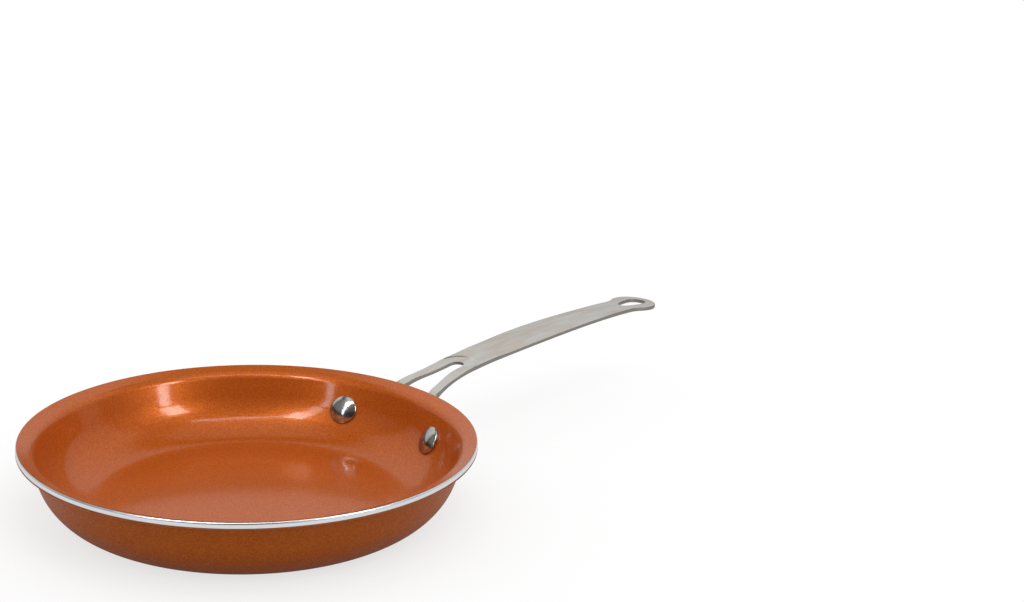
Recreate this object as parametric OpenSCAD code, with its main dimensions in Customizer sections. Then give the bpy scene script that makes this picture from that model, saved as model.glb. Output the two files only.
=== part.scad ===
// Frying pan: a pressed aluminium pan with a perforated steel disc in its base,
// a stamped steel handle, and two solid rivets. The origin is the middle of the base
// on the surface that the pan stands on, +X runs along the handle and +Z is up.

/* [Pan] */
// Diameter across the rim
rim_d = 203.2; // [190:1:230]
// Height of the rim above the surface that the pan stands on
pan_h = 35; // [32:0.5:42]
// Diameter of the machined ring that the pan stands on
base_d = 141; // [132:1:150]
// Thickness of the wall
wall_t = 2.5; // [1.8:0.1:3.2]
// Angle at which the curved corner leaves the base, from the horizontal
heel_slope = 10; // [4:1:16]
// Radius of the curved corner, outside
heel_r = 28.4; // [12:0.2:31]
// Height of the cooking floor above the surface that the pan stands on
floor_z = 4.2; // [3.4:0.1:5.5]
// Distance from the edge of the flat cooking floor to the edge of the base, in plan
floor_inset = 5.5; // [2.5:0.5:12]

/* [Rim] */
// Height of the bare cut edge round the rim
edge_h = 3; // [2:0.1:4]
// Angle of the lip's top face, from the horizontal
lip_slope = 20; // [12:1:28]
// Width of the lip outside the wall
lip_w = 5; // [4.2:0.1:6.5]
// Depth from the rim's top to the groove under the lip
groove_drop = 4.2; // [3.8:0.1:5.5]
// Radius of the lip's rounded underside
lip_under_r = 4.5; // [3.6:0.1:7]
// Radius of the bend from the inner wall to the lip
lip_bend_r = 5; // [2:0.1:6]
// Thickness of the ceramic coat inside and of the enamel coat outside
coat_t = 0.2; // [0.1:0.02:0.3]

/* [Base disc] */
// Width of the machined ring that the pan stands on
ring_w = 11.5; // [8:0.5:16]
// Width of the bevel between the ring and the steel disc
bevel_w = 3.5; // [2:0.1:9]
// Thickness of the steel disc
disc_t = 0.8; // [0.5:0.1:1.2]
// How far the disc lies above the standing ring
disc_rise = 0.6; // [0.3:0.1:1]
// Diameter of the holes in the disc
hole_d = 3.6; // [2.5:0.1:4.5]
// Diameter of the hole in the disc's centre
centre_hole_d = 5.8; // [4:0.1:8]
// Spacing of the rings of holes
hole_pitch = 7.35; // [6.5:0.05:9]
// Depth of the aluminium in the holes below the disc's face
stud_dip = 0.15; // [0.05:0.05:0.25]

/* [Handle] */
// Thickness of the steel sheet that the handle is stamped from
sheet_t = 2; // [1.6:0.1:2.4]
// Clearance between the handle and the rim that it passes under
rim_clear = 0.3; // [0.2:0.05:1]
// Radius of the grip's long arch
arch_r = 760; // [600:10:1000]
// Angle at which the arch passes into the arms
arch_end_slope = 7.4; // [6.5:0.1:8.5]
// Radius of the arms between the arch and the rim
arm_r = 150; // [130:5:180]
// Angle of the arms where they reach the rim
arm_end_slope = 17; // [14:0.5:20]
// Radius of the bend at the rim, down to the wall
rim_bend_r = 23; // [18:0.5:30]
// Distance from the top of the arch to the tip
tip_reach = 49; // [44:0.5:60]
// Width of the grip at its widest
grip_w = 22.4; // [20:0.2:26]
// Width of the neck behind the head
neck_w = 18; // [15:0.2:19]
// Width of the head at the tip
head_w = 23.8; // [21:0.2:28]
// Width of the grip just behind the fork
waist_w = 20.2; // [18:0.2:22]
// Width across the arms where they pass under the rim
fork_w = 28.8; // [26:0.2:34]
// Length of the hanging hole
hang_len = 18.6; // [16:0.2:20]
// Width of the hanging hole
hang_w = 9.8; // [8:0.2:12]
// Distance from the tip to the hanging hole
hang_edge = 4.5; // [3.5:0.1:6]

/* [Fork and riveting plate] */
// Distance from the rim to the end of the gap between the arms
crotch_reach = 33.4; // [26:0.2:40]
// Width of the gap at its narrow end
gap_narrow_w = 7; // [5:0.2:9]
// Width of the gap where it passes the rim
gap_wide_w = 15.6; // [13:0.2:18]
// Width of the riveting plate
plate_w = 76; // [68:1:84]
// Depth of the plate's top edge below the rim
plate_drop = 6.2; // [6:0.1:9]
// Height of the plate's lower edge above the standing surface, in the middle
plate_low_z = 4.6; // [3.4:0.1:6]
// Height of the plate's lower edge above the standing surface, at its round ends
plate_end_z = 8.4; // [7:0.1:12]
// Thickness of the tongue that lies on the wall between the arms
tongue_t = 1; // [0.6:0.1:1.4]

/* [Pressed forms in the grip] */
// Depth of the pressed groove under the grip
groove_depth = 0.8; // [0.4:0.1:1.2]
// Width of the groove's leaf-shaped end
leaf_w = 5.4; // [4:0.2:8]
// Length of the leaf-shaped end
leaf_len = 18; // [12:1:24]
// Width of the groove's narrow part
stem_w = 3.8; // [2.5:0.1:4.5]
// Length of the groove from the leaf's point
groove_len = 40; // [30:1:90]
// Depth of the hollow under the grip
hollow_depth = 0.5; // [0.3:0.1:0.8]
// Width of the flat border beside the hollow
border_w = 1.5; // [1:0.1:2.5]
// Width of the raised horseshoe round the gap's end
horseshoe_w = 5.4; // [4:0.2:6.5]

/* [Rivets] */
// Distance from each end of the riveting plate to its rivet
rivet_inset = 7.5; // [6.5:0.1:11]
// Depth of the rivets below the rim
rivet_drop = 16; // [13:0.1:17]
// Diameter of the rivet's shank
shank_d = 5; // [4:0.1:6]
// Diameter of the rivet's head inside the pan
head_d = 13.8; // [9:0.2:14.6]
// Height of the head inside the pan
head_h = 3.2; // [2.2:0.1:4]
// Height of the head's upright edge
head_edge_h = 1.3; // [0.8:0.1:1.6]
// Diameter of the closed end outside
tail_d = 7.6; // [6.4:0.1:9]
// Height of the closed end outside
tail_h = 1.6; // [1.1:0.1:2.2]

/* [Hidden] */

// Clearance between pieces that lie on each other
seat_gap = 0.05;
// Clearance round the disc and round each shank
fit_gap = 0.05;
// How far a cut runs past the face that it leaves
over = 1;
// Segments of a full turn, and of one arc in an outline
turn_n = 180;
arc_n = 20;
curve_n = 14;

rim_r = rim_d / 2;
base_r = base_d / 2;
floor_r = base_r - floor_inset;
coat_rise = coat_t / cos(lip_slope);
metal_h = pan_h - coat_rise;
groove_z = pan_h - groove_drop;

// Points of an arc round c, from angle a to angle b
function arc(c, r, a, b, n = arc_n) =
    [for (i = [0:n]) c + r * [cos(a + (b - a) * i / n), sin(a + (b - a) * i / n)]];
// Points of a curve with two handles
function curve(p, q, r, s, n = curve_n) =
    [for (i = [0:n]) let (t = i / n, u = 1 - t)
        u * u * u * p + 3 * u * u * t * q + 3 * u * t * t * r + t * t * t * s];
// The same points in the other order
function reversed(pts) = [for (i = [len(pts) - 1:-1:0]) pts[i]];
// The same points on the other side of the handle's middle line
function mirrored(pts) = [for (p = reversed(pts)) [p[0], -p[1]]];
// Where the line n1.p = k1 crosses the line n2.p = k2
function crossing(n1, k1, n2, k2) =
    let (det = n1[0] * n2[1] - n1[1] * n2[0])
    [(k1 * n2[1] - k2 * n1[1]) / det, (n1[0] * k2 - n2[0] * k1) / det];

// The lip starts at a groove, and the wall runs from there down to a curved corner that it
// is tangent to. The corner's radius is limited by the room between the base and the groove.
groove_p = [rim_r - lip_w, groove_z];
heel_limit_share = 1.1;
heel = min(heel_r, heel_limit_share * (groove_p[0] - base_r));
heel_c = [base_r - heel * sin(heel_slope), heel * cos(heel_slope)];
heel_v = groove_p - heel_c;
wall_slope = 90 + atan2(heel_v[1], heel_v[0]) - acos(heel / norm(heel_v));
// The wall's outward normal, its upward direction, and its place along the normal
wall_n = [sin(wall_slope), -cos(wall_slope)];
wall_u = [cos(wall_slope), sin(wall_slope)];
wall_k = wall_n * groove_p;
inner_k = wall_k - wall_t;
function wall_point(k, z) = [(k + wall_u[0] * z) / wall_u[1], z];

// The inner corner is tangent to the floor and to the inner wall
corner_r = (inner_k - wall_n[0] * floor_r + wall_u[0] * floor_z) / (1 - wall_u[0]);
corner_c = [floor_r, floor_z + corner_r];
// The bend between the inner wall and the lip's top face
lip_m = [-sin(lip_slope), cos(lip_slope)];
lip_bend_c = crossing(wall_n, inner_k + lip_bend_r, lip_m, lip_m * [rim_r, metal_h] - lip_bend_r);

// The lip's rounded underside, from the groove to the lower corner of the bare edge
edge_p = [rim_r, pan_h - edge_h];
under_chord = edge_p - groove_p;
under_side = [-under_chord[1], under_chord[0]] / norm(under_chord);
under_r = max(lip_under_r, norm(under_chord) / 2 + coat_t);
under_c = (groove_p + edge_p) / 2
    + under_side * sqrt(under_r * under_r - under_chord * under_chord / 4);
// How far up the wall a layer of thickness d meets the same layer under the lip
function groove_step(d) =
    let (v = groove_p + wall_n * d - under_c, b = v * wall_u, c = v * v - (under_r + d) * (under_r + d))
    -b - sqrt(max(0, b * b - c));
function layer_groove(d) = groove_p + wall_n * d + wall_u * (d > 0 ? groove_step(d) : 0);

function angle_from(c, p) = atan2(p[1] - c[1], p[0] - c[0]);
// The outside of the pan, a layer of thickness d outside the metal, base to rim
function outside(d) =
    let (heel_a = acos(heel_c[1] / (heel + d)), g = layer_groove(d), r = under_r + d,
         low_a = angle_from(under_c, g),
         high_a = -acos(min(1, (rim_r - under_c[0]) / r)))
    concat(arc(heel_c, heel + d, heel_a - 90, wall_slope - 90),
           arc(under_c, r, low_a, high_a));
// The inside of the pan, a layer of thickness d inside the metal, rim to floor
function inside(d) =
    concat([[rim_r, metal_h + d / cos(lip_slope)]],
           arc(lip_bend_c, lip_bend_r + d, 90 + lip_slope, 90 + wall_slope),
           arc(corner_c, corner_r - d, wall_slope - 90, -90),
           [[0, floor_z + d]]);

// The disc's seat in the base
bevel_r = base_r - ring_w;
disc_r = bevel_r - bevel_w;
seat_r = disc_r + fit_gap;
seat_z = disc_rise + disc_t;

// Centres of the holes: one in the middle and six more in each ring than in the last
ring_start = 6;
hole_rings = floor((disc_r - hole_d) / hole_pitch);
hole_centres = [for (k = [1:hole_rings], i = [0:ring_start * k - 1])
    let (a = 360 * i / (ring_start * k)) hole_pitch * k * [cos(a), sin(a)]];

// The rivets' axes, square to the wall
rivet_z = pan_h - rivet_drop;
rivet_turn = asin((plate_w / 2 - rivet_inset) / wall_point(wall_k, rivet_z)[0]);
rivet_p = wall_point(inner_k, rivet_z);
// How much deeper the curved wall lies at the middle of the head than at its sides
head_sag = rivet_p[0] - sqrt(rivet_p[0] * rivet_p[0] - head_d * head_d / 4);
// The head lies square to the wall at its own height, which may be on the inner corner
head_slope = acos(max(cos(wall_slope), 1 - (rivet_z - floor_z) / corner_r));
head_x = head_slope < wall_slope ? floor_r + corner_r * sin(head_slope) : rivet_p[0];
plate_k = wall_k + coat_t + seat_gap;

// The handle's side view: a bend that is tangent to the wall and passes under the rim, the
// arms' own curve, and a long arch to the tip
rim_corner = outside(coat_t)[len(outside(coat_t)) - 1];
bend_reach = rim_bend_r + rim_clear;
corner_k = plate_k + rim_bend_r - wall_n * rim_corner;
bend_c = rim_corner + corner_k * wall_n - sqrt(bend_reach * bend_reach - corner_k * corner_k) * wall_u;
arm_c = bend_c + (arm_r - rim_bend_r) * [sin(arm_end_slope), -cos(arm_end_slope)];
arch_c = arm_c + (arch_r - arm_r) * [sin(arch_end_slope), -cos(arch_end_slope)];
root_p = bend_c - rim_bend_r * wall_n;
arch_x = arch_c[0];
tip_x = arch_x + tip_reach;
grip_top = arch_c[1] + arch_r;
crotch_x = rim_r + crotch_reach;
// A line at depth d under the handle's top face, from the tip to the wall
function under_top(d) =
    concat(arc(arch_c, arch_r - d, acos((tip_reach + over) / (arch_r - d)), 90 + arch_end_slope),
           arc(arm_c, arm_r - d, 90 + arch_end_slope, 90 + arm_end_slope),
           arc(bend_c, rim_bend_r - d, 90 + arm_end_slope, 90 + wall_slope));

// Half outlines of the handle in plan, from the arms' roots to the tip
head_r = head_w / 2;
head_c = [tip_x - head_r, 0];
neck_x = tip_x - head_w - neck_w / 4;
grip_x = (arch_x + crotch_x) / 2;
waist_x = crotch_x + gap_narrow_w / 2;
rim_gap_x = rim_r;
head_turn = 118;
head_back = head_c + head_r * [cos(head_turn), sin(head_turn)];
half_plan = concat(
    [[root_p[0] - sheet_t, fork_w / 2]],
    curve([rim_gap_x, fork_w / 2], [rim_gap_x + grip_w / 2, (fork_w + waist_w) / 4],
          [waist_x - grip_w, waist_w / 2], [waist_x, waist_w / 2]),
    curve([waist_x, waist_w / 2], [waist_x + grip_w / 2, waist_w / 2],
          [grip_x - grip_w, grip_w / 2], [grip_x, grip_w / 2]),
    curve([grip_x, grip_w / 2], [grip_x + grip_w, grip_w / 2],
          [neck_x - neck_w / 2, neck_w / 2], [neck_x, neck_w / 2]),
    curve([neck_x, neck_w / 2], [neck_x + neck_w / 5, neck_w / 2],
          head_back - neck_w / 4 * [sin(head_turn), -cos(head_turn)], head_back),
    arc(head_c, head_r, head_turn, 0));

// The gap between the arms, in plan, from its round narrow end to the wall
gap_r = gap_narrow_w / 2;
gap_end_c = [crotch_x - gap_r, 0];
gap_root_r = gap_wide_w / 2 + sheet_t / 4;
gap_root_c = [root_p[0] + sheet_t + gap_root_r, 0];
half_gap = concat(
    arc(gap_root_c, gap_root_r, 180, 90),
    curve([rim_gap_x + sheet_t, gap_wide_w / 2], [rim_gap_x + gap_wide_w, gap_wide_w / 2 - gap_r / 4],
          [gap_end_c[0] - gap_wide_w, gap_r], [gap_end_c[0], gap_r]),
    arc(gap_end_c, gap_r, 90, 0));

// The hanging hole: round towards the tip and drawn to a blunt point towards the pan
hang_r = hang_w / 2;
hang_c = [tip_x - hang_edge - hang_r, 0];
hang_point = [tip_x - hang_edge - hang_len, 0];
half_hang = concat(
    curve(hang_point, hang_point + [0, hang_r * 2 / 3], hang_c + [-hang_r, hang_r], hang_c + [0, hang_r]),
    arc(hang_c, hang_r, 90, 0));

// The leaf-ended groove under the grip
leaf_x = neck_x - neck_w / 4;
leaf_back_x = leaf_x - leaf_len;
leaf_mid_x = leaf_x - leaf_len * 2 / 3;
groove_x = leaf_x - groove_len;
half_leaf = concat(
    [[groove_x, 0], [groove_x, stem_w / 2], [leaf_back_x, stem_w / 2]],
    curve([leaf_back_x, stem_w / 2], [leaf_back_x + leaf_w / 3, leaf_w / 2],
          [leaf_mid_x - leaf_w / 3, leaf_w / 2], [leaf_mid_x, leaf_w / 2]),
    curve([leaf_mid_x, leaf_w / 2], [leaf_mid_x + leaf_w, leaf_w / 2],
          [leaf_x - leaf_w / 3, leaf_w / 8], [leaf_x, 0]));

// The hollow under the grip, which ends round the raised horseshoe
horseshoe_r = gap_r + horseshoe_w;
hollow_w = waist_w - 2 * border_w;
hollow_end_x = neck_x - neck_w / 4;
half_hollow = [[gap_end_c[0], 0], [gap_end_c[0], hollow_w / 2], [grip_x, grip_w / 2 - border_w],
               [hollow_end_x, neck_w / 2 - border_w], [hollow_end_x, 0]];

// The riveting plate's outline as seen along the handle: a low arc, round ends and a level top
plate_top_z = pan_h - plate_drop;
plate_end_r = (plate_top_z - plate_end_z) / 2;
plate_end_c = [plate_w / 2 - plate_end_r, plate_top_z - plate_end_r];
plate_sag = plate_end_z - plate_low_z;
plate_chord = plate_end_c[0];
// The low arc is tangent to the round ends
plate_low_r = (plate_chord * plate_chord + (plate_sag + plate_end_r) * (plate_sag + plate_end_r)
    - plate_end_r * plate_end_r) / (2 * plate_sag);
plate_low_c = [0, plate_low_z + plate_low_r];
plate_low_a = angle_from(plate_low_c, plate_end_c);
plate_half = concat(arc(plate_low_c, plate_low_r, -90, plate_low_a),
                    arc(plate_end_c, plate_end_r, plate_low_a, 90));

// A solid of revolution of a flat outline in radius and height
module turned(pts) { rotate_extrude($fn = turn_n) polygon(pts); }
// A plan outline, given as its half, made a column that is taller than the pan and handle
module column(half) {
    translate([0, 0, -over]) linear_extrude(grip_top + 2 * over) polygon(concat(half, mirrored(half)));
}
// The part of the handle between two depths under its top face
module layer(d1, d2, w) {
    rotate([90, 0, 0]) translate([0, 0, -w / 2]) linear_extrude(w)
        polygon(concat(under_top(d1), reversed(under_top(d2))));
}
// A layer on the pan's outside, from a to b outside the enamel, below the plate's top edge
module wall_layer(a, b) {
    low = outside(coat_t + seat_gap + a);
    high = outside(coat_t + seat_gap + b);
    n = arc_n;
    lower = [for (i = [0:n]) low[i]];
    upper = [for (i = [n:-1:0]) high[i]];
    top_low = wall_point(plate_k + a, plate_top_z);
    top_high = wall_point(plate_k + b, plate_top_z);
    turned(concat(lower, [top_low, top_high], upper));
}
// The riveting plate's outline as a beam along the handle
module plate_beam() {
    rotate([90, 0, 90]) linear_extrude(rim_r + over)
        polygon(concat(plate_half, [for (p = reversed(plate_half)) [-p[0], p[1]]]));
}
// Places a child at a rivet, with +Z along the rivet's axis out of the pan
module at_rivet(side) {
    rotate([0, 0, side * rivet_turn]) translate([rivet_p[0], 0, rivet_p[1]]) rotate([0, 90 + 90 - wall_slope, 0])
        children();
}
// The holes for the rivets
module rivet_bores() {
    for (side = [-1, 1]) at_rivet(side)
        translate([0, 0, -wall_t]) cylinder(h = 4 * wall_t + sheet_t, d = shank_d + 2 * fit_gap, $fn = arc_n * 2);
}

module pan_body() color("gainsboro") {
    difference() {
        turned(concat([[0, seat_z], [seat_r, seat_z], [seat_r, disc_rise], [bevel_r, 0]],
                      outside(0), inside(0)));
        rivet_bores();
    }
    for (p = hole_centres) translate([p[0], p[1], disc_rise + stud_dip])
        cylinder(h = disc_t, d = hole_d - 2 * fit_gap, $fn = arc_n * 2);
    translate([0, 0, disc_rise + stud_dip])
        cylinder(h = disc_t, d = centre_hole_d - 2 * fit_gap, $fn = arc_n * 2);
}

module inner_coating() color("peru") difference() {
    turned(concat(inside(0), reversed(inside(coat_t))));
    rivet_bores();
}

module outer_coating() color("sienna") difference() {
    turned(concat(outside(0), reversed(outside(coat_t))));
    rivet_bores();
}

module induction_disc() color("dimgray") translate([0, 0, disc_rise]) difference() {
    cylinder(h = disc_t, r = disc_r, $fn = turn_n);
    for (p = hole_centres) translate([p[0], p[1], -over])
        cylinder(h = disc_t + 2 * over, d = hole_d, $fn = arc_n * 2);
    translate([0, 0, -over]) cylinder(h = disc_t + 2 * over, d = centre_hole_d, $fn = arc_n * 2);
}

module handle() color("silver") difference() {
    union() {
        // Arms, grip and head
        difference() {
            intersection() {
                layer(0, sheet_t, plate_w);
                column(half_plan);
            }
            column(half_gap);
            column(half_hang);
            // Hollow under the grip, kept clear of the horseshoe
            intersection() {
                layer(sheet_t - hollow_depth, sheet_t + over, plate_w);
                difference() {
                    column(half_hollow);
                    translate([gap_end_c[0], 0, -over]) cylinder(h = grip_top + 2 * over, r = horseshoe_r, $fn = turn_n);
                }
            }
            intersection() {
                layer(sheet_t - hollow_depth - groove_depth, sheet_t + over, plate_w);
                column(half_leaf);
            }
        }
        // Riveting plate, and the tongue between the arms
        intersection() {
            plate_beam();
            union() {
                difference() {
                    wall_layer(0, sheet_t);
                    column(half_gap);
                }
                intersection() {
                    wall_layer(0, tongue_t);
                    column([[root_p[0] - 2 * sheet_t, 0], [root_p[0] - 2 * sheet_t, gap_wide_w], [rim_r, gap_wide_w]]);
                }
            }
        }
    }
    rivet_bores();
}

// A domed head with a flat underside at height 0, and an upright edge where one is given
module dome(d, h, edge = 0) {
    rise = h - edge;
    r = (d * d / 4 + rise * rise) / (2 * rise);
    intersection() {
        translate([0, 0, h - r]) sphere(r = r, $fn = turn_n);
        cylinder(h = h + over, d = edge > 0 ? d : d + over, $fn = arc_n * 2);
    }
}
// Places a child at a rivet's head, with +Z along the wall's normal at the head, out of the pan
module at_head(side) {
    rotate([0, 0, side * rivet_turn]) translate([head_x, 0, rivet_z]) rotate([0, 90 + 90 - head_slope, 0])
        children();
}
// A solid rivet: a domed head inside, its shank, and the closed end outside
module rivet(side) {
    under_head = coat_t + seat_gap;
    tail_z = wall_t + coat_t + sheet_t + 2 * seat_gap;
    at_rivet(side) translate([0, 0, -under_head - head_h / 2])
        cylinder(h = under_head + head_h / 2 + tail_z + tail_h / 2, d = shank_d, $fn = arc_n * 2);
    at_rivet(side) translate([0, 0, tail_z]) dome(tail_d, tail_h);
    intersection() {
        at_head(side) mirror([0, 0, 1]) translate([0, 0, under_head - head_sag])
            dome(head_d, head_h + head_sag, head_edge_h + head_sag);
        turned(concat([[0, metal_h]], inside(under_head)));
    }
}
module rivet_left() color("lightgray") rivet(1);
module rivet_right() color("lightgray") rivet(-1);

pan_body();
inner_coating();
outer_coating();
induction_disc();
handle();
rivet_left();
rivet_right();
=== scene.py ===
# The looks of a frying pan: pressed aluminium with a coated inside, a painted outside,
# a perforated steel disc in the base, a stamped steel handle and two solid rivets.
# Every piece is drawn in millimetres and turned to metres when it is finished.
from math import acos, asin, atan2, cos, degrees, hypot, pi, radians, sin, sqrt, tan

import bpy
from mathutils import Matrix, Vector


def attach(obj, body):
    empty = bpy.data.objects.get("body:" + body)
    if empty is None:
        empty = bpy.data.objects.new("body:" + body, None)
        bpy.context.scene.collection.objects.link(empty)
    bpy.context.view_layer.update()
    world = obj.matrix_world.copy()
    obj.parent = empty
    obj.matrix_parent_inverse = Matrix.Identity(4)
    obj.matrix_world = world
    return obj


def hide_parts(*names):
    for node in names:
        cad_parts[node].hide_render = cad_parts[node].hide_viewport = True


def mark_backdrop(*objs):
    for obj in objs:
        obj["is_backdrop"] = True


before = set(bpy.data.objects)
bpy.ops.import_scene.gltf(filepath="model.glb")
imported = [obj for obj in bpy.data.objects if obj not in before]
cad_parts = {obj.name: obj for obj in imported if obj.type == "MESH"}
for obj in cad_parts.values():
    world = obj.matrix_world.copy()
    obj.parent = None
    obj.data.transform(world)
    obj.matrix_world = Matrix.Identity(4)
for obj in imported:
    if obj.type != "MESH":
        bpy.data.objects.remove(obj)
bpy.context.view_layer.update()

# Pan
RIM_R, PAN_H, BASE_R = 101.6, 35.0, 70.5
WALL_T, COAT_T, SEAT_GAP = 2.5, 0.2, 0.05
HEEL_R, HEEL_SLOPE = 28.4, 10.0
FLOOR_Z, FLOOR_R = 4.2, 65.0
EDGE_H, EDGE_EASE, LIP_SLOPE, LIP_W, GROOVE_DROP = 3.0, 0.45, 20.0, 5.0, 4.2
LIP_UNDER_R, LIP_BEND_R = 4.5, 5.0
# Base disc
BEVEL_R, DISC_R, DISC_RISE, DISC_T = 59.0, 55.5, 0.6, 0.8
BEVEL_EASE, HOLE_PITCH, HOLE_RINGS = 0.5, 7.35, 7
STUD_R, CENTRE_STUD_R, STUD_DIP, STUD_RIM, STUD_DISH = 1.75, 2.85, 0.15, 0.03, 0.06
# Handle
SHEET_T, RIM_CLEAR = 2.0, 0.3
ARCH_R, ARCH_END, ARM_R, ARM_END, BEND_R = 760.0, 7.4, 150.0, 17.0, 23.0
TIP_REACH, GRIP_W, NECK_W, HEAD_W, WAIST_W, FORK_W = 49.0, 22.4, 18.0, 23.8, 20.2, 28.8
HANG_LEN, HANG_W, HANG_EDGE = 18.6, 9.8, 4.5
CROTCH_X, GAP_NARROW_W, GAP_WIDE_W = 135.0, 7.0, 15.6
PLATE_W, PLATE_TOP_Z, PLATE_LOW_Z, PLATE_END_Z = 76.0, 28.8, 4.6, 8.4
HEAD_TURN, FILLET_R, SHEET_EASE = 118, 3.6, 0.22
TONGUE_T, TONGUE_LOW, TONGUE_LAP, TONGUE_GAP = 1.0, 3.0, 2.0, 0.02
# Its top's two creases, how far from its middle line they start and how much they part
CREASE_T, CREASE_SPREAD = 2.4, 2.2
# How deep the hollow between them and the fork lie, how the grip falls off outside them for each
# millimetre, and the height of the ring round the end of the fork's gap
HOLLOW_DEPTH, FORK_DEPTH, FACET_FALL, RING_H = 0.18, 0.3, 0.055, 0.14
# Depths of the forms below, half the groove's width at its stem and leaf, where the leaf is widest
# and how far it reaches on from there
UNDER_DEPTH, FLUTE_DEPTH, STEM_DEPTH, STEM_DIP, LEAF_DEPTH = 0.6, 0.22, 0.62, 0.25, 0.75
STEM_HALF_W, LEAF_HALF_W, LEAF_X, LEAF_REACH = 1.6, 2.9, 234, 13.5
# Rivets
RIVET_INSET, RIVET_DROP = 7.5, 16.0
SHANK_R, HEAD_R, HEAD_H, HEAD_EDGE_H, TAIL_R, TAIL_H = 2.5, 6.9, 3.2, 1.3, 3.8, 1.6
# Steps of a full turn, of the pan and of a rivet
TURN_STEPS, RIVET_STEPS = 256, 64


# ---------------------------------------------------------------- outlines, in millimetres

def arc(centre, radius, start, end, steps=16):
    """Points of an arc from one angle to another, in degrees."""
    angles = [radians(start + (end - start) * i / steps) for i in range(steps + 1)]
    return [Vector((centre[0] + radius * cos(a), centre[1] + radius * sin(a))) for a in angles]


def curve(p, q, r, s, steps=14):
    """Points of a curve from p to s with two handles, q and r."""
    points = []
    for i in range(steps + 1):
        t = i / steps
        u = 1 - t
        points.append(Vector([u**3 * a + 3 * u * u * t * b + 3 * u * t * t * c + t**3 * d
                              for a, b, c, d in zip(p, q, r, s)]))
    return points


def slope_to(centre, point):
    """The direction from a centre to a point, in degrees."""
    return degrees(atan2(point[1] - centre[1], point[0] - centre[0]))


def eased(value, low, high):
    """Rises smoothly from 0 at low to 1 at high."""
    u = min(1.0, max(0.0, (value - low) / (high - low)))
    return u * u * (3 - 2 * u)


METAL_H = PAN_H - COAT_T / cos(radians(LIP_SLOPE))
groove = Vector((RIM_R - LIP_W, PAN_H - GROOVE_DROP))
heel_centre = Vector((BASE_R - HEEL_R * sin(radians(HEEL_SLOPE)), HEEL_R * cos(radians(HEEL_SLOPE))))
to_groove = groove - heel_centre
WALL_SLOPE = 90 + degrees(atan2(to_groove.y, to_groove.x)) - degrees(acos(HEEL_R / to_groove.length))
wall_out = Vector((sin(radians(WALL_SLOPE)), -cos(radians(WALL_SLOPE))))
wall_up = Vector((cos(radians(WALL_SLOPE)), sin(radians(WALL_SLOPE))))
WALL_K = wall_out.dot(groove)
INNER_K = WALL_K - WALL_T
PLATE_K = WALL_K + COAT_T + SEAT_GAP
CORNER_R = (INNER_K - wall_out.x * FLOOR_R + wall_up.x * FLOOR_Z) / (1 - wall_up.x)
corner_centre = Vector((FLOOR_R, FLOOR_Z + CORNER_R))
under_chord = Vector((RIM_R, PAN_H - EDGE_H)) - groove
UNDER_R = max(LIP_UNDER_R, under_chord.length / 2 + COAT_T)
under_centre = groove + under_chord / 2 + (
    Vector((-under_chord.y, under_chord.x)).normalized() * sqrt(UNDER_R**2 - under_chord.length**2 / 4))


def wall_radius(k, z):
    """The radius at which the line at distance k along the wall's normal reaches height z."""
    return (k + wall_up.x * z) / wall_up.y


def lip_bend_centre():
    """The centre of the bend between the inner wall and the lip's sloping top."""
    lip_out = Vector((-sin(radians(LIP_SLOPE)), cos(radians(LIP_SLOPE))))
    a, b = INNER_K + LIP_BEND_R, lip_out.dot(Vector((RIM_R, METAL_H))) - LIP_BEND_R
    across = wall_out.x * lip_out.y - wall_out.y * lip_out.x
    return Vector(((a * lip_out.y - b * wall_out.y) / across, (wall_out.x * b - lip_out.x * a) / across))


def outside_line(d):
    """The outside of the pan from base to rim, a layer of thickness d over the metal."""
    heel_start = degrees(acos(heel_centre.y / (HEEL_R + d)))
    start = groove + wall_out * d
    if d > 0:
        v = start - under_centre
        b, c = v.dot(wall_up), v.dot(v) - (UNDER_R + d) ** 2
        start = start + wall_up * (-b - sqrt(max(0, b * b - c)))
    end = -degrees(acos(min(1, (RIM_R - under_centre.x) / (UNDER_R + d))))
    return (arc(heel_centre, HEEL_R + d, heel_start - 90, WALL_SLOPE - 90, 24)
            + arc(under_centre, UNDER_R + d, slope_to(under_centre, start), end, 14))


def inside_line(d):
    """The inside of the pan from rim to floor, a layer of thickness d over the metal."""
    start = Vector((RIM_R - EDGE_EASE, METAL_H - EDGE_EASE * tan(radians(LIP_SLOPE))))
    return ([start + Vector((0, d / cos(radians(LIP_SLOPE))))]
            + arc(lip_bend_centre(), LIP_BEND_R + d, 90 + LIP_SLOPE, 90 + WALL_SLOPE, 12)
            + arc(corner_centre, CORNER_R - d, WALL_SLOPE - 90, -90, 28)
            + [Vector((0, FLOOR_Z + d))])


def rounded(before, corner, after, radius, steps=5):
    """Points that round a corner of an outline."""
    to_before, to_after = (before - corner).normalized(), (after - corner).normalized()
    half = to_before.angle(to_after) / 2
    centre = corner + (to_before + to_after).normalized() * radius / sin(half)
    first = corner + to_before * radius * cos(half) / sin(half)
    last = corner + to_after * radius * cos(half) / sin(half)
    start, end = slope_to(centre, first), slope_to(centre, last)
    while end - start > 180:
        end -= 360
    while end - start < -180:
        end += 360
    return arc(centre, radius, start, end, steps)


# ---------------------------------------------------------------- modelling

def drawn(name, points):
    """A chain of corners, drawn by extruding one corner after another, left in edit mode."""
    bpy.ops.object.select_all(action="DESELECT")
    bpy.ops.mesh.primitive_plane_add(size=1, location=(0, 0, 0))
    piece = bpy.context.object
    piece.name = piece.data.name = name
    bpy.ops.object.mode_set(mode="EDIT")
    bpy.ops.mesh.select_mode(type="VERT")
    bpy.ops.mesh.merge(type="CENTER")
    bpy.ops.transform.translate(value=points[0])
    for here, there in zip(points, points[1:]):
        bpy.ops.mesh.extrude_vertices_move(TRANSFORM_OT_translate={"value": there - here})
    bpy.ops.mesh.select_all(action="SELECT")
    return piece


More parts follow.
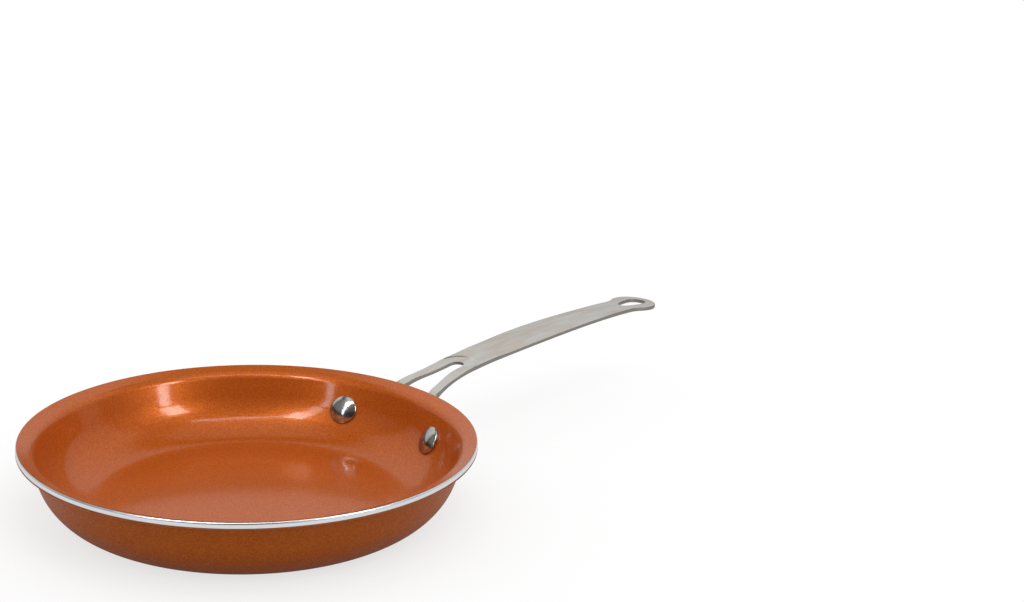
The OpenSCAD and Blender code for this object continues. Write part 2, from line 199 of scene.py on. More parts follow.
def spun(name, outline, steps=TURN_STEPS):
    """A piece turned from an outline of radius and height. A ring's outline ends where it starts."""
    piece = drawn(name, [Vector((p[0], 0, p[1])) for p in outline])
    bpy.ops.mesh.spin(steps=steps, angle=2 * pi, center=(0, 0, 0), axis=(0, 0, 1))
    bpy.ops.mesh.select_all(action="SELECT")
    bpy.ops.mesh.remove_doubles(threshold=0.002)
    bpy.ops.mesh.normals_make_consistent(inside=False)
    bpy.ops.object.mode_set(mode="OBJECT")
    return piece


def finished(piece, materials, nodes=(), angle=30):
    """Turns a piece from millimetres to metres, smooths and dresses it and ties it to the pan."""
    piece.data.transform(Matrix.Scale(0.001, 4))
    bpy.ops.object.select_all(action="DESELECT")
    piece.select_set(True)
    bpy.context.view_layer.objects.active = piece
    bpy.ops.object.shade_smooth_by_angle(angle=radians(angle))
    for made in materials:
        piece.data.materials.append(made)
    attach(piece, "root")
    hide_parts(*nodes)
    return piece


# ---------------------------------------------------------------- materials

def colour(code):
    """A linear colour from an sRGB hex value."""
    parts = [int(code[i:i + 2], 16) / 255 for i in (1, 3, 5)]
    return [c / 12.92 if c <= 0.04045 else ((c + 0.055) / 1.055) ** 2.4 for c in parts] + [1]


def fill(tree, made, inputs):
    """Gives a node's inputs their values and links."""
    for key, value in inputs.items():
        if isinstance(value, bpy.types.NodeSocket):
            tree.links.new(value, made.inputs[key])
        else:
            made.inputs[key].default_value = value


def node(tree, kind, inputs=None, **settings):
    """Adds a node with its settings, and its inputs' values and links."""
    made = tree.nodes.new(kind)
    for key, value in settings.items():
        setattr(made, key, value)
    fill(tree, made, inputs or {})
    return made


def material(name):
    """An empty material, its node tree, and its finish."""
    made = bpy.data.materials.new(name)
    made.use_nodes = True
    return made, made.node_tree, made.node_tree.nodes["Principled BSDF"]


def round_axis(tree):
    """Each spot's distance from the pan's axis, and the direction round it."""
    place = node(tree, "ShaderNodeTexCoord").outputs["Object"]
    flat = node(tree, "ShaderNodeVectorMath", {0: place, 1: (1, 1, 0)}, operation="MULTIPLY").outputs[0]
    radius = node(tree, "ShaderNodeVectorMath", {0: flat}, operation="LENGTH").outputs["Value"]
    turned = node(tree, "ShaderNodeVectorMath", {0: (0, 0, 1), 1: place}, operation="CROSS_PRODUCT")
    return radius, turned.outputs[0]


def machined_aluminium():
    """Bare aluminium, turned on a lathe: bright, with fine circular turning lines."""
    made, tree, finish = material("machined_aluminium")
    radius, turned = round_axis(tree)
    # Turning lines 0.25 mm apart on the real ring, drawn 0.6 mm apart so that they show
    lines = node(tree, "ShaderNodeTexNoise", {"W": radius, "Scale": 1700, "Detail": 2},
                 noise_dimensions="1D").outputs["Fac"]
    # Their highlight runs across them
    fill(tree, finish, {
        "Base Color": node(tree, "ShaderNodeMix", {
            0: lines, 6: colour("#D2D3D6"), 7: colour("#F0F0F2")}, data_type="RGBA").outputs[2],
        "Roughness": node(tree, "ShaderNodeMapRange", {
            "Value": lines, "To Min": 0.22, "To Max": 0.36}).outputs[0],
        "Normal": node(tree, "ShaderNodeBump", {
            "Height": lines, "Strength": 0.04, "Distance": 0.0003}).outputs[0],
        "Metallic": 1, "Anisotropic": 0.6, "Tangent": turned})
    return made


def mica(tree, size):
    """How much of each spot of a coat is mica, 0 to 1, in flakes of a size in millimetres."""
    place = node(tree, "ShaderNodeTexCoord").outputs["Object"]
    cells = node(tree, "ShaderNodeTexVoronoi", {"Vector": place, "Scale": 1000 / size}).outputs["Color"]
    return node(tree, "ShaderNodeMapRange", {"Value": cells, "From Min": 0.2, "From Max": 0.8}).outputs[0]


def ceramic_coat():
    """Sprayed and baked ceramic coat: a glossy clear top over red-brown pigment with golden mica."""
    made, tree, finish = material("ceramic_coat")
    # Mica of 0.05 mm, drawn 0.2 mm across so that it shows
    flakes = mica(tree, 0.2)
    # The mica mirrors like metal, and the pigment round it is matt
    fill(tree, finish, {
        "Base Color": node(tree, "ShaderNodeMix", {
            0: flakes, 6: colour("#A83A02"), 7: colour("#D07016")}, data_type="RGBA").outputs[2],
        "Metallic": node(tree, "ShaderNodeMapRange", {
            "Value": flakes, "To Min": 0.05, "To Max": 0.5}).outputs[0],
        "Roughness": node(tree, "ShaderNodeMapRange", {
            "Value": flakes, "To Min": 0.45, "To Max": 0.36}).outputs[0],
        "Specular IOR Level": 0.1, "Coat Weight": 0.5, "Coat Roughness": 0.11})
    return made


def copper_enamel():
    """Stoved metallic enamel on the outside: browner, with the same mica under a thin satin top."""
    made, tree, finish = material("copper_enamel")
    flakes = mica(tree, 0.2)
    fill(tree, finish, {
        "Base Color": node(tree, "ShaderNodeMix", {
            0: flakes, 6: colour("#A23C08"), 7: colour("#CA7022")}, data_type="RGBA").outputs[2],
        "Metallic": node(tree, "ShaderNodeMapRange", {
            "Value": flakes, "To Min": 0.05, "To Max": 0.4}).outputs[0],
        "Roughness": node(tree, "ShaderNodeMapRange", {
            "Value": flakes, "To Min": 0.5, "To Max": 0.4}).outputs[0],
        "Specular IOR Level": 0.1, "Coat Weight": 0.08, "Coat Roughness": 0.25})
    return made


def brushed_disc_steel():
    """Magnetic stainless steel, brushed in circles: dark, with a highlight on two sides."""
    made, tree, finish = material("brushed_disc_steel")
    radius, turned = round_axis(tree)
    # Brush lines 0.1 mm apart, drawn 0.5 mm apart so that they show
    lines = node(tree, "ShaderNodeTexNoise", {"W": radius, "Scale": 2000, "Detail": 3},
                 noise_dimensions="1D").outputs["Fac"]
    fill(tree, finish, {
        "Base Color": node(tree, "ShaderNodeMix", {
            0: lines, 6: colour("#5C5753"), 7: colour("#6E6965")}, data_type="RGBA").outputs[2],
        "Roughness": node(tree, "ShaderNodeMapRange", {
            "Value": lines, "To Min": 0.30, "To Max": 0.45}).outputs[0],
        "Normal": node(tree, "ShaderNodeBump", {
            "Height": lines, "Strength": 0.06, "Distance": 0.0002}).outputs[0],
        "Metallic": 1, "Anisotropic": 0.75, "Tangent": turned})
    return made


def tumbled_steel():
    """Stamped stainless steel, tumble polished: satin grey with cloudy warm and cool patches."""
    made, tree, finish = material("tumbled_steel")
    place = node(tree, "ShaderNodeTexCoord").outputs["Object"]
    # Clouds 26 mm long and 9 mm wide along the sheet
    stretched = node(tree, "ShaderNodeVectorMath", {0: place, 1: (0.35, 1, 1)}, operation="MULTIPLY")
    clouds = node(tree, "ShaderNodeTexNoise", {
        "Vector": stretched.outputs[0], "Scale": 110, "Detail": 3, "Distortion": 0.6}).outputs["Fac"]
    warmth = node(tree, "ShaderNodeMapRange", {
        "Value": clouds, "From Min": 0.35, "From Max": 0.65}).outputs[0]
    # Scratches of the tumbling stones, 0.8 mm apart with finer ones between
    grain = node(tree, "ShaderNodeTexNoise", {"Vector": place, "Scale": 1200, "Detail": 4}).outputs["Fac"]
    ripple = node(tree, "ShaderNodeBump", {
        "Height": clouds, "Strength": 0.25, "Distance": 0.001}).outputs[0]
    fill(tree, finish, {
        "Base Color": node(tree, "ShaderNodeMix", {
            0: warmth, 6: colour("#C2BAB2"), 7: colour("#CACDCE")}, data_type="RGBA").outputs[2],
        "Roughness": node(tree, "ShaderNodeMapRange", {
            "Value": grain, "To Min": 0.18, "To Max": 0.28}).outputs[0],
        "Normal": node(tree, "ShaderNodeBump", {
            "Height": grain, "Strength": 0.03, "Distance": 0.0002, "Normal": ripple}).outputs[0],
        "Metallic": 1})
    return made


def sheared_steel():
    """The die-cut edge of the same sheet: darker and rougher than its faces."""
    made, tree, finish = material("sheared_steel")
    place = node(tree, "ShaderNodeTexCoord").outputs["Object"]
    # Tear marks of the die, 1.1 mm apart with finer ones between
    marks = node(tree, "ShaderNodeTexNoise", {"Vector": place, "Scale": 900, "Detail": 3}).outputs["Fac"]
    fill(tree, finish, {
        "Base Color": node(tree, "ShaderNodeMix", {
            0: marks, 6: colour("#85827E"), 7: colour("#9C9994")}, data_type="RGBA").outputs[2],
        "Roughness": node(tree, "ShaderNodeMapRange", {
            "Value": marks, "To Min": 0.5, "To Max": 0.62}).outputs[0],
        "Metallic": 1})
    return made


def polished_rivet_steel():
    """Cold-headed stainless steel, buffed: a near mirror with faint wear."""
    made, tree, finish = material("polished_rivet_steel")
    place = node(tree, "ShaderNodeTexCoord").outputs["Object"]
    # Buffing marks, 2 mm apart with finer ones between
    wear = node(tree, "ShaderNodeTexNoise", {"Vector": place, "Scale": 500, "Detail": 3}).outputs["Fac"]
    fill(tree, finish, {
        "Base Color": node(tree, "ShaderNodeMix", {
            0: wear, 6: colour("#A8A6A3"), 7: colour("#C2C1BF")}, data_type="RGBA").outputs[2],
        "Roughness": node(tree, "ShaderNodeMapRange", {
            "Value": wear, "To Min": 0.13, "To Max": 0.23}).outputs[0],
        "Metallic": 1})
    return made


aluminium, ceramic, enamel = machined_aluminium(), ceramic_coat(), copper_enamel()
disc_steel, sheet_steel, edge_steel, rivet_steel = (
    brushed_disc_steel(), tumbled_steel(), sheared_steel(), polished_rivet_steel())


# ---------------------------------------------------------------- the pan

def pan_metal():
    """The pressed metal: floor, wall, lip with its bare cut edge, standing ring, bevel and disc seat."""
    outside, inside = outside_line(0), inside_line(0)
    seat_r, seat_z = DISC_R + SEAT_GAP, DISC_RISE + DISC_T
    # The cut edge is turned crowned, and eased 0.6 times as much at its foot as at its top
    edge_low, edge_top = outside[-1].y, inside[0].y
    crown = [Vector((RIM_R - EDGE_EASE * share**4 * (1 if share > 0 else 0.6),
                     edge_low + (edge_top - edge_low) * (1 + share) / 2))
             for share in (-1, -0.9, -0.75, -0.6, -0.4, -0.2, 0, 0.2, 0.4, 0.6, 0.7, 0.8, 0.9, 0.95, 1)]
    bevel_corner = rounded(Vector((seat_r, DISC_RISE)), Vector((BEVEL_R, 0)), outside[0], BEVEL_EASE)
    outline = ([Vector((0, seat_z)), Vector((seat_r, seat_z)), Vector((seat_r, DISC_RISE))] + bevel_corner
               + outside[:-1] + crown + inside[1:])
    return finished(spun("pan_metal", outline), [aluminium], ["pan_body"])


def coat(name, outer, inner):
    """A coat between two lines. The outside's is closed all round. The inside's is two sheets that
    stay open along the rim, and the upper one's faces point down."""
    outline = outer + inner[::-1]
    return spun(name, outline + outline[:1] if outer[0].x > 1 and outer[-1].x > 1 else outline)


def disc_studs():
    """The aluminium that fills the disc's holes, each a little below the disc's face and dished."""
    spots = [Vector((0, 0, 0))]
    for ring in range(1, HOLE_RINGS + 1):
        for i in range(6 * ring):
            a = 2 * pi * i / (6 * ring)
            spots.append(Vector((HOLE_PITCH * ring * cos(a), HOLE_PITCH * ring * sin(a), 0)))
    top = DISC_RISE + DISC_T
    face = DISC_RISE + STUD_DIP
    bpy.ops.object.select_all(action="DESELECT")
    studs = []
    for radius, corners in ((CENTRE_STUD_R, 24), (STUD_R, 12)):
        bpy.ops.mesh.primitive_circle_add(vertices=corners, radius=radius, fill_type="NGON",
                                          location=(0, 0, top))
        stud = bpy.context.object
        bpy.ops.object.mode_set(mode="EDIT")
        bpy.ops.mesh.extrude_region_move(TRANSFORM_OT_translate={"value": (0, 0, face - top)})
        # Its rim stands out a little, and its middle is hollow
        bpy.ops.mesh.inset(thickness=radius * 0.2)
        bpy.ops.transform.translate(value=(0, 0, -STUD_RIM))
        bpy.ops.mesh.inset(thickness=radius * 0.35)
        bpy.ops.transform.translate(value=(0, 0, STUD_DISH))
        bpy.ops.mesh.select_all(action="SELECT")
        bpy.ops.mesh.normals_make_consistent(inside=False)
        if radius == STUD_R:
            bpy.ops.transform.translate(value=spots[1])
            for here, there in zip(spots[1:], spots[2:]):
                bpy.ops.mesh.duplicate_move(TRANSFORM_OT_translate={"value": there - here})
        bpy.ops.object.mode_set(mode="OBJECT")
        bpy.ops.object.transform_apply(location=True)
        studs.append(stud)
    for stud in studs:
        stud.select_set(True)
    bpy.context.view_layer.objects.active = studs[0]
    bpy.ops.object.join()
    studs[0].name = studs[0].data.name = "disc_studs"
    return finished(studs[0], [aluminium], ["pan_body"])


def base_disc():
    """The perforated disc, from a merged copy of its solid."""
    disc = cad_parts["induction_disc"].copy()
    disc.data = disc.data.copy()
    disc.name = disc.data.name = "base_disc"
    for key in list(disc.keys()):
        del disc[key]
    disc.parent = None
    disc.data.materials.clear()
    bpy.context.scene.collection.objects.link(disc)
    disc.data.transform(Matrix.Scale(1000, 4))
    bpy.ops.object.select_all(action="DESELECT")
    disc.select_set(True)
    bpy.context.view_layer.objects.active = disc
    bpy.ops.object.mode_set(mode="EDIT")
    bpy.ops.mesh.select_all(action="SELECT")
    bpy.ops.mesh.remove_doubles(threshold=0.002)
    bpy.ops.object.mode_set(mode="OBJECT")
    return finished(disc, [disc_steel], ["induction_disc"])


pan_metal()
inner_coat = coat("inner_coat", inside_line(COAT_T), inside_line(0))
finished(inner_coat, [ceramic], ["inner_coating"])
outer_coat = coat("outer_coat", outside_line(COAT_T), outside_line(0))
finished(outer_coat, [enamel], ["outer_coating"])
disc_studs()
base_disc()


# ---------------------------------------------------------------- the handle

rim_corner = outside_line(COAT_T)[-1]
bend_reach = BEND_R + RIM_CLEAR
corner_k = PLATE_K + BEND_R - wall_out.dot(rim_corner)
bend_centre = rim_corner + wall_out * corner_k - wall_up * sqrt(bend_reach**2 - corner_k**2)
arm_centre = bend_centre + Vector((sin(radians(ARM_END)), -cos(radians(ARM_END)))) * (ARM_R - BEND_R)
arch_centre = arm_centre + Vector((sin(radians(ARCH_END)), -cos(radians(ARCH_END)))) * (ARCH_R - ARM_R)
root = bend_centre - wall_out * BEND_R
BEND_LEN = BEND_R * radians(WALL_SLOPE - ARM_END)
ARM_LEN = ARM_R * radians(ARM_END - ARCH_END)
FOOT_R = HEEL_R + COAT_T + SEAT_GAP
FOOT_LEN = (root.y - heel_centre.y - FOOT_R * wall_out.y) / wall_up.y
TIP_X = arch_centre.x + TIP_REACH
GAP_END_X = CROTCH_X - GAP_NARROW_W / 2


def along(s, d):
    """A point of the handle's side view: s along its top face from the arms' root, d below it."""
    if s > BEND_LEN + ARM_LEN:
        a, c, r = 90 + ARCH_END - degrees((s - BEND_LEN - ARM_LEN) / ARCH_R), arch_centre, ARCH_R
    elif s > BEND_LEN:
        a, c, r = 90 + ARM_END - degrees((s - BEND_LEN) / ARM_R), arm_centre, ARM_R
    elif s > 0:
        a, c, r = 90 + WALL_SLOPE - degrees(s / BEND_R), bend_centre, BEND_R
    elif s > -FOOT_LEN:
        return root + wall_up * s + wall_out * d
    else:
        a, c, r = WALL_SLOPE - 90 + degrees((s + FOOT_LEN) / FOOT_R), heel_centre, FOOT_R + 2 * d
    return Vector((c.x + (r - d) * cos(radians(a)), c.y + (r - d) * sin(radians(a))))


def at_x(x):
    """How far along the top face a place x of the plan is."""
    if x > arch_centre.x - ARCH_R * sin(radians(ARCH_END)):
        return BEND_LEN + ARM_LEN + ARCH_R * (radians(90 + ARCH_END) - acos((x - arch_centre.x) / ARCH_R))
    if x > arm_centre.x - ARM_R * sin(radians(ARM_END)):
        return BEND_LEN + ARM_R * (radians(90 + ARM_END) - acos((x - arm_centre.x) / ARM_R))
    return BEND_R * (radians(90 + WALL_SLOPE) - acos((x - bend_centre.x) / BEND_R))


def at_z(z):
    """How far along the riveting plate's face a height z is."""
    tangent_z = heel_centre.y + FOOT_R * wall_out.y
    if z > tangent_z:
        return (z - root.y) / wall_up.y
    return -FOOT_LEN - FOOT_R * (radians(WALL_SLOPE - 90) - asin((z - heel_centre.y) / FOOT_R))


# The half outline of the grip in plan, from the rim to the tip, as in the solid
head_centre = Vector((TIP_X - HEAD_W / 2, 0))
neck_x = TIP_X - HEAD_W - NECK_W / 4
grip_x = (arch_centre.x + CROTCH_X) / 2
waist_x = CROTCH_X + GAP_NARROW_W / 2
head_out = Vector((cos(radians(HEAD_TURN)), sin(radians(HEAD_TURN))))
head_round = Vector((sin(radians(HEAD_TURN)), -cos(radians(HEAD_TURN))))
head_back = head_centre + HEAD_W / 2 * head_out
half_plan = (
    curve((RIM_R, FORK_W / 2), (RIM_R + GRIP_W / 2, (FORK_W + WAIST_W) / 4),
          (waist_x - GRIP_W, WAIST_W / 2), (waist_x, WAIST_W / 2))
    + curve((waist_x, WAIST_W / 2), (waist_x + GRIP_W / 2, WAIST_W / 2),
            (grip_x - GRIP_W, GRIP_W / 2), (grip_x, GRIP_W / 2))[1:]
    + curve((grip_x, GRIP_W / 2), (grip_x + GRIP_W, GRIP_W / 2),
            (neck_x - NECK_W / 2, NECK_W / 2), (neck_x, NECK_W / 2))[1:]
    + curve((neck_x, NECK_W / 2), (neck_x + NECK_W / 5, NECK_W / 2),
            head_back - NECK_W / 4 * head_round, head_back)[1:]
    + arc(head_centre, HEAD_W / 2, HEAD_TURN, 0, 24)[1:])


def half_width(x):
    """Half the handle's width at a place x of the plan."""
    for here, there in zip(half_plan, half_plan[1:]):
        if here.x <= x <= there.x:
            return here.y + (there.y - here.y) * (x - here.x) / max(1e-6, there.x - here.x)
    return FORK_W / 2 if x < RIM_R else 0.0


def blank_outline():
    """The flat blank's half outline: distance along it and distance from its middle line."""
    gap_r = GAP_NARROW_W / 2
    root_r = GAP_WIDE_W / 2 + SHEET_T / 4
    gap_end = Vector((GAP_END_X, 0))
    root_c = Vector((root.x + SHEET_T + root_r, 0))
    gap = (arc(root_c, root_r, 180, 90, 12)
           + curve((RIM_R + SHEET_T, GAP_WIDE_W / 2), (RIM_R + GAP_WIDE_W, GAP_WIDE_W / 2 - gap_r / 4),
                   (gap_end.x - GAP_WIDE_W, gap_r), (gap_end.x, gap_r))[1:]
           + arc(gap_end, gap_r, 90, 0, 12)[1:])
    hang_r = HANG_W / 2
    hang_c = Vector((TIP_X - HANG_EDGE - hang_r, 0))
    point = Vector((TIP_X - HANG_EDGE - HANG_LEN, 0))
    hang = (curve(point, point + Vector((0, hang_r * 2 / 3)), hang_c + Vector((-hang_r, hang_r)),
                  hang_c + Vector((0, hang_r)), 12) + arc(hang_c, hang_r, 90, 0, 14)[1:])
    end_r = (PLATE_TOP_Z - PLATE_END_Z) / 2
    end_c = Vector((PLATE_W / 2 - end_r, PLATE_TOP_Z - end_r))
    sag = PLATE_END_Z - PLATE_LOW_Z
    low_r = (end_c.x**2 + (sag + end_r) ** 2 - end_r**2) / (2 * sag)
    low_c = Vector((0, PLATE_LOW_Z + low_r))
    low_a = slope_to(low_c, end_c)
    plate = arc(low_c, low_r, -90, low_a, 24) + arc(end_c, end_r, low_a, 90, 16)[1:]
    fillet = arc((at_z(PLATE_TOP_Z) + FILLET_R, FORK_W / 2 + FILLET_R), FILLET_R, 180, 270, 8)
    outline = ([Vector((at_z(p.y), p.x)) for p in plate] + fillet
               + [Vector((at_x(p.x), p.y)) for p in half_plan[1:]]
               + [Vector((at_x(p.x), p.y)) for p in hang[::-1]]
               + [Vector((at_x(p.x), p.y)) for p in gap[::-1]])
    kept = [outline[0]]
    for p in outline[1:]:
        if (p - kept[-1]).length > 0.01:
            kept.append(p)
    return kept


# In both of these x is a place along the handle and t the distance from its middle line

def top_relief(x, t):
    """How far the top face lies below the blank's: a hollow between two creases, and a lower fork."""
    away = abs(t) - CREASE_T - CREASE_SPREAD * sqrt(eased(x, 154, 178))
    if away < 0:
        hollow = HOLLOW_DEPTH * eased(-away, 0, 0.8) * (1 - 0.6 * eased(-away, 1.2, 4.6))
    else:
        hollow = FACET_FALL * away
    hollow *= eased(x, 150, 162) * (1 - eased(x, 226, 248))
    # The fork lies lower up to a low ring round the end of its gap
    round_gap = hypot(max(0.0, x - GAP_END_X), t)
    fork = FORK_DEPTH * (1 - eased(round_gap, 9.0, 10.6) * eased(x, 124, 133))
    fork *= eased(x, 100, 112) * (1 - eased(x, 146, 150))
    ring = RING_H * eased(round_gap, 9.6, 10.5) * (1 - eased(round_gap, 10.5, 11.6)) * eased(x, 126, 133)
    return hollow + fork - ring + RING_H


def under_relief(x, t):
    """How far the under face is pressed up: a hollow, and in it two flutes and a leaf-ended groove."""
    half = half_width(x)
    t = abs(t)
    round_gap = hypot(x - GAP_END_X, t) if x > GAP_END_X else t
    hollow = (eased(round_gap, 9.0, 10.4) * eased(x, 126, 134) * (1 - eased(t, half - 1.9, half - 1.0))
              * (1 - eased(x, 244, 256)))
    # The flutes lie beside a flat stripe and end in a fan of facets
    flutes = (eased(t, 1.4, 2.6) * (1 - eased(t, 7.5, 9.5))
              * eased(x, 146 + t, 160 + t) * (1 - eased(x, 205, 222)))
    pressed = UNDER_DEPTH * hollow + FLUTE_DEPTH * flutes * hollow
    # The leaf and its stem, which is a little deeper along its middle
    if x > 207:
        if x > LEAF_X:
            leaf = LEAF_HALF_W * (1 - ((x - LEAF_X) / LEAF_REACH) ** 2)
        else:
            leaf = STEM_HALF_W + (LEAF_HALF_W - STEM_HALF_W) * eased(x, 219, LEAF_X)
        shape = 1 - eased(t, max(0.05, leaf - 0.75), leaf + 0.15)
        ends = eased(x, 207.4, 209) * (1 - eased(x, 245.5, 247.5))
        depth = STEM_DEPTH + STEM_DIP * (1 - min(1.0, t / leaf)) if x < 229 else LEAF_DEPTH
        pressed += shape * ends * depth
    return pressed


def on_pan(s, t, d):
    """Where a point of the flat blank lies when the handle is bent and its plate hugs the wall."""
    arm = along(s, d)
    if s > 0:
        # Beside the arms the plate goes straight on up the wall
        flank = root + wall_up * s + wall_out * d
        arm = flank.lerp(arm, 1 - eased(abs(t), 15, 21))
    # The plate hugs the round wall, and the arms grow straight out of it
    wrap = 1 - eased(s, 0, 20)
    return Vector((sqrt(arm.x**2 - wrap * t * t), t, arm.y))


def handle():
    """One stamping: a flat blank, its edges eased, pressed with its forms and bent to shape."""
    points = [Vector((p.x, p.y, 0)) for p in blank_outline()]
    blank = drawn("handle_stamping", points)
    bpy.ops.mesh.edge_face_add()
    bpy.ops.mesh.select_all(action="SELECT")
    bpy.ops.mesh.extrude_region_move(TRANSFORM_OT_translate={"value": (0, 0, -SHEET_T)})
    bpy.ops.mesh.select_all(action="SELECT")
    bpy.ops.mesh.normals_make_consistent(inside=False)
    bpy.ops.mesh.select_mode(type="EDGE")
    bpy.ops.mesh.select_all(action="DESELECT")
    bpy.ops.object.mode_set(mode="OBJECT")
    # The edges round both faces are eased, but not along the middle line
    for edge in blank.data.edges:
        a, b = [blank.data.vertices[i].co for i in edge.vertices]
        edge.select = abs(a.z - b.z) < 0.01 and max(a.y, b.y) > 0.001
    bpy.ops.object.mode_set(mode="EDIT")
    bpy.ops.mesh.bevel(offset=SHEET_EASE, segments=2, affect="EDGES", clamp_overlap=False)
    # Cuts along and across the blank, closest where it is pressed
    s_low, s_high = points[0].x, max(p.x for p in points)
    cuts = []
    s = s_low + 0.7
    while s < s_high:
        cuts.append(((s, 0, 0), (1, 0, 0)))
        fine = at_x(124) < s < at_x(164) or at_x(205) < s < at_x(250)
        s += 0.5 if fine else 1.0
    t = 0.5
    while t < PLATE_W / 2:
        cuts.append(((0, t, 0), (0, 1, 0)))
        t += 0.25 if 2 <= t < 5 else 0.5 if t < 11.5 else 1.0
    for place, facing in cuts:
        bpy.ops.mesh.select_all(action="SELECT")
        bpy.ops.mesh.bisect(plane_co=place, plane_no=facing, threshold=0.0001)
    bpy.ops.mesh.select_mode(type="FACE")
    bpy.ops.mesh.select_all(action="DESELECT")
    bpy.ops.object.mode_set(mode="OBJECT")
    # The faces on the middle line go, and the other half is mirrored from this one
    for face in blank.data.polygons:
        face.select = all(abs(blank.data.vertices[i].co.y) < 0.001 for i in face.vertices)
    bpy.ops.object.mode_set(mode="EDIT")
    bpy.ops.mesh.delete(type="ONLY_FACE")
    bpy.ops.object.mode_set(mode="OBJECT")
    bpy.ops.object.modifier_add(type="MIRROR")
    mirror = blank.modifiers[-1]
    mirror.use_axis = (False, True, False)
    mirror.use_mirror_merge = True
    bpy.ops.object.modifier_apply(modifier=mirror.name)
    bpy.ops.object.mode_set(mode="EDIT")
    bpy.ops.mesh.select_all(action="SELECT")
    bpy.ops.mesh.delete_loose()
    bpy.ops.mesh.select_all(action="SELECT")
    bpy.ops.mesh.normals_make_consistent(inside=False)
    bpy.ops.object.mode_set(mode="OBJECT")
    # The faces that don't lie flat are the die's cut
    cut_edges = [face.index for face in blank.data.polygons if abs(face.normal.z) < 0.97]
    for v in blank.data.vertices:
        s, t, d = v.co.x, v.co.y, -v.co.z
        x = along(s, 0).x if s > 0 else 0.0
        if s > BEND_LEN:
            # The forms come in over the arms' first 12 mm
            top, under = top_relief(x, t), SHEET_T - under_relief(x, t)
            grown = eased(s, BEND_LEN, BEND_LEN + 12)
            d = (1 - grown) * d + grown * (top + (under - top) * d / SHEET_T)
        v.co = on_pan(s, t, d)
    for steel in (sheet_steel, edge_steel):
        blank.data.materials.append(steel)
    for index in cut_edges:
        blank.data.polygons[index].material_index = 1
    return blank


def tongue():
    """The thin tongue that stays on the wall between the arms."""
    low_s, top_s, half = -TONGUE_LOW, at_z(PLATE_TOP_Z), GAP_WIDE_W / 2 + TONGUE_LAP
    bpy.ops.object.select_all(action="DESELECT")
    bpy.ops.mesh.primitive_plane_add(size=1, location=(0, 0, 0))
    piece = bpy.context.object
    bpy.ops.object.mode_set(mode="EDIT")
    bpy.ops.transform.resize(value=(top_s - low_s, 2 * half, 1))
    bpy.ops.transform.translate(value=((top_s + low_s) / 2, 0, 0))
    bpy.ops.mesh.subdivide(number_cuts=15)
    bpy.ops.mesh.extrude_region_move(TRANSFORM_OT_translate={"value": (0, 0, -TONGUE_T)})
    bpy.ops.mesh.select_all(action="SELECT")
    bpy.ops.mesh.normals_make_consistent(inside=False)
    bpy.ops.object.mode_set(mode="OBJECT")
    for v in piece.data.vertices:
        s, t, d = v.co.x, v.co.y, -v.co.z
        spot = root + wall_up * s + wall_out * (d + TONGUE_GAP)
        v.co = Vector((sqrt(spot.x**2 - t * t), t, spot.y))
    return piece


stamping, rest_on_wall = handle(), tongue()
rest_on_wall.data.materials.append(sheet_steel)
bpy.ops.object.select_all(action="DESELECT")
rest_on_wall.select_set(True)
stamping.select_set(True)
bpy.context.view_layer.objects.active = stamping
bpy.ops.object.join()
finished(stamping, [], ["handle"], angle=40)


# ---------------------------------------------------------------- the rivets

def rivet(name, side, solid):
    """A solid rivet: a buffed low head inside the pan, its shank, and a domed end outside."""
    under, tail_z = COAT_T + SEAT_GAP, WALL_T + COAT_T + SHEET_T + 2 * SEAT_GAP
    tail_dome = (TAIL_R**2 + TAIL_H**2) / (2 * TAIL_H)
    shoulder_r, shoulder_h = HEAD_R - 0.35, HEAD_EDGE_H + 0.3
    rise = HEAD_H - shoulder_h
    head_dome = (shoulder_r**2 + rise**2) / (2 * rise)
    tail_end = degrees(asin((tail_dome - TAIL_H) / tail_dome)) + 4
    tail = arc((0, tail_z + TAIL_H - tail_dome), tail_dome, 90, tail_end, 12)
    head = arc((0, head_dome - under - HEAD_H), head_dome, -degrees(acos(shoulder_r / head_dome)), -90, 14)
    # Its heights run from the pan's inner wall outwards. The domes end a little short of their
    # edges, which are eased.
    outline = (tail + [Vector((TAIL_R, tail_z + 0.12)), Vector((TAIL_R - 0.12, tail_z)),
                       Vector((SHANK_R, tail_z)), Vector((SHANK_R, 0.6)),
                       Vector((HEAD_R - 0.7, 0.3)), Vector((HEAD_R - 0.25, 0)),
                       Vector((HEAD_R - 0.05, -under - 0.3)), Vector((HEAD_R, -under - 0.7)),
                       Vector((HEAD_R - 0.02, -under - HEAD_EDGE_H + 0.1)),
                       Vector((HEAD_R - 0.14, -under - HEAD_EDGE_H - 0.12))] + head)
    piece = spun(name, outline, RIVET_STEPS)
    # The head, up to its end in the bore, lies square to the inner corner's curve, and the rest
    # square to the wall
    head_end = 0.7
    z = PAN_H - RIVET_DROP
    turn = asin((PLATE_W / 2 - RIVET_INSET) / wall_radius(WALL_K, z))
    head_slope = acos(1 - (z - FLOOR_Z) / CORNER_R)
    for v in piece.data.vertices:
        if v.co.z < head_end:
            square_to, start = head_slope, FLOOR_R + CORNER_R * sin(head_slope)
        else:
            square_to, start = radians(WALL_SLOPE), wall_radius(INNER_K, z)
            # The end outside follows the round of the plate
            v.co.z -= v.co.y**2 / (2 * wall_radius(WALL_K, z))
        v.co = (Matrix.Rotation(side * turn, 4, "Z") @ Matrix.Translation((start, 0, z))
                @ Matrix.Rotation(pi - square_to, 4, "Y")) @ v.co
    return finished(piece, [rivet_steel], [solid], angle=35)


rivet("rivet_left_polished", 1, "rivet_left")
rivet("rivet_right_polished", -1, "rivet_right")


# ---------------------------------------------------------------- floor, light and camera

